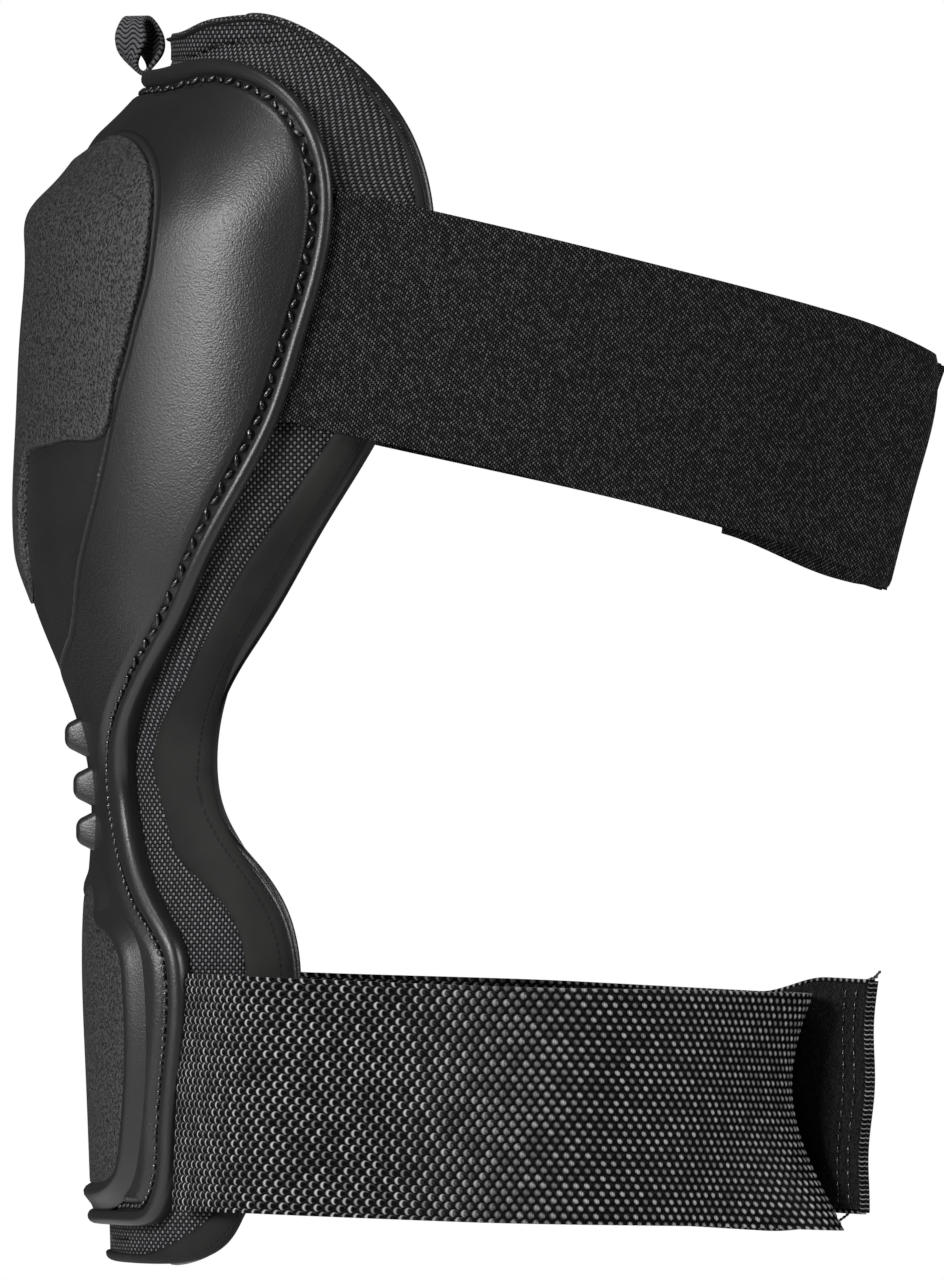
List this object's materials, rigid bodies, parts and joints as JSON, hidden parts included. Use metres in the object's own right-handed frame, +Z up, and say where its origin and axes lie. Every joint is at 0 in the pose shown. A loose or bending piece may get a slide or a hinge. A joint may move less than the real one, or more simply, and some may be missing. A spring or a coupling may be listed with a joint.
{
  "type": "knee guard",
  "caption": "Black strap-on motorcycle knee and shin guard with a moulded shell, woven base, foam core and two elastic straps closed by hook and loop.",
  "frame": {"origin": "Inside of the knee cup, on its middle line, where the kneecap rests.", "axes": "+X across the knee towards the side seen in the reference view, +Y backwards from the guard towards the strap closures, +Z up the leg"},
  "size_m": [0.1548, 0.2013, 0.2685],
  "materials": {
    "moulded_shell": "satin, fine leather grain",
    "grip_texture": "coarse pebble grain, matt",
    "cordura": "coarse basket weave nylon",
    "eva_foam": "smooth matt moulded foam",
    "liner_mesh": "fine brushed knit",
    "thread": "glossy bonded nylon",
    "elastic_twill": "fine twill elastic",
    "elastic_webbing": "coarse glossy woven elastic",
    "hook_tape": "stiff hooks",
    "pile_tape": "fuzzy pile",
    "grosgrain": "ribbed narrow webbing"
  },
  "bodies": {
    "knee": {"knee_shell": "moulded_shell", "knee_grip_panel": "grip_texture", "base_fabric_knee": "cordura", "foam_knee": "eva_foam", "liner_knee": "liner_mesh", "rim_stitching_knee": "thread", "flex_shell": "moulded_shell", "base_fabric_flex": "cordura", "foam_flex": "eva_foam", "liner_flex": "liner_mesh", "rim_stitching_flex": "thread"},
    "shin": {"shin_shell": "moulded_shell", "shin_grip_panel": "grip_texture", "base_fabric_shin": "cordura", "foam_shin": "eva_foam", "liner_shin": "liner_mesh", "rim_stitching_shin": "thread"},
    "pull_tab": {"pull_loop": "grosgrain"},
    "upper_near_half": {"upper_strap_near": "elastic_twill", "upper_hook_patch": "hook_tape"},
    "upper_far_half": {"upper_strap_far": "elastic_twill", "upper_pile_lining": "pile_tape", "upper_hem_stitching": "thread"},
    "lower_near_half": {"lower_strap_near": "elastic_webbing", "lower_hook_patch": "hook_tape"},
    "lower_far_half": {"lower_strap_far": "elastic_webbing", "lower_pile_lining": "pile_tape", "lower_hem_stitching": "thread"}
  },
  "joints": [
    {"name": "flex", "type": "hinge", "parent": "knee", "child": "shin", "pos_m": [0, 0.005, -0.077], "axis": [1, 0, 0], "range_deg": [-10, 20], "stiffness_Nm_per_rad": 2, "deforming": ["flex_shell", "base_fabric_flex", "foam_flex", "liner_flex", "rim_stitching_flex"]},
    {"name": "upper_near_swing", "type": "hinge", "parent": "knee", "child": "upper_near_half", "pos_m": [0.07485, 0.0461, 0.0238], "axis": [0, -0.2588, -0.9659], "range_deg": [0, 80]},
    {"name": "upper_far_swing", "type": "hinge", "parent": "knee", "child": "upper_far_half", "pos_m": [-0.07485, 0.0461, 0.0238], "axis": [0, 0.2588, 0.9659], "range_deg": [0, 80]},
    {"name": "lower_near_swing", "type": "hinge", "parent": "shin", "child": "lower_near_half", "pos_m": [0.05254, 0.0184, -0.14198], "axis": [0, -0.0419, -0.9991], "range_deg": [0, 80]},
    {"name": "lower_far_swing", "type": "hinge", "parent": "shin", "child": "lower_far_half", "pos_m": [-0.05254, 0.0184, -0.14198], "axis": [0, 0.0419, 0.9991], "range_deg": [0, 80]},
    {"name": "pull_loop_bend", "type": "hinge", "parent": "knee", "child": "pull_tab", "pos_m": [0, 0.0096, 0.077], "axis": [1, 0, 0], "range_deg": [-8, 35], "stiffness_Nm_per_rad": 0.01}
  ]
}
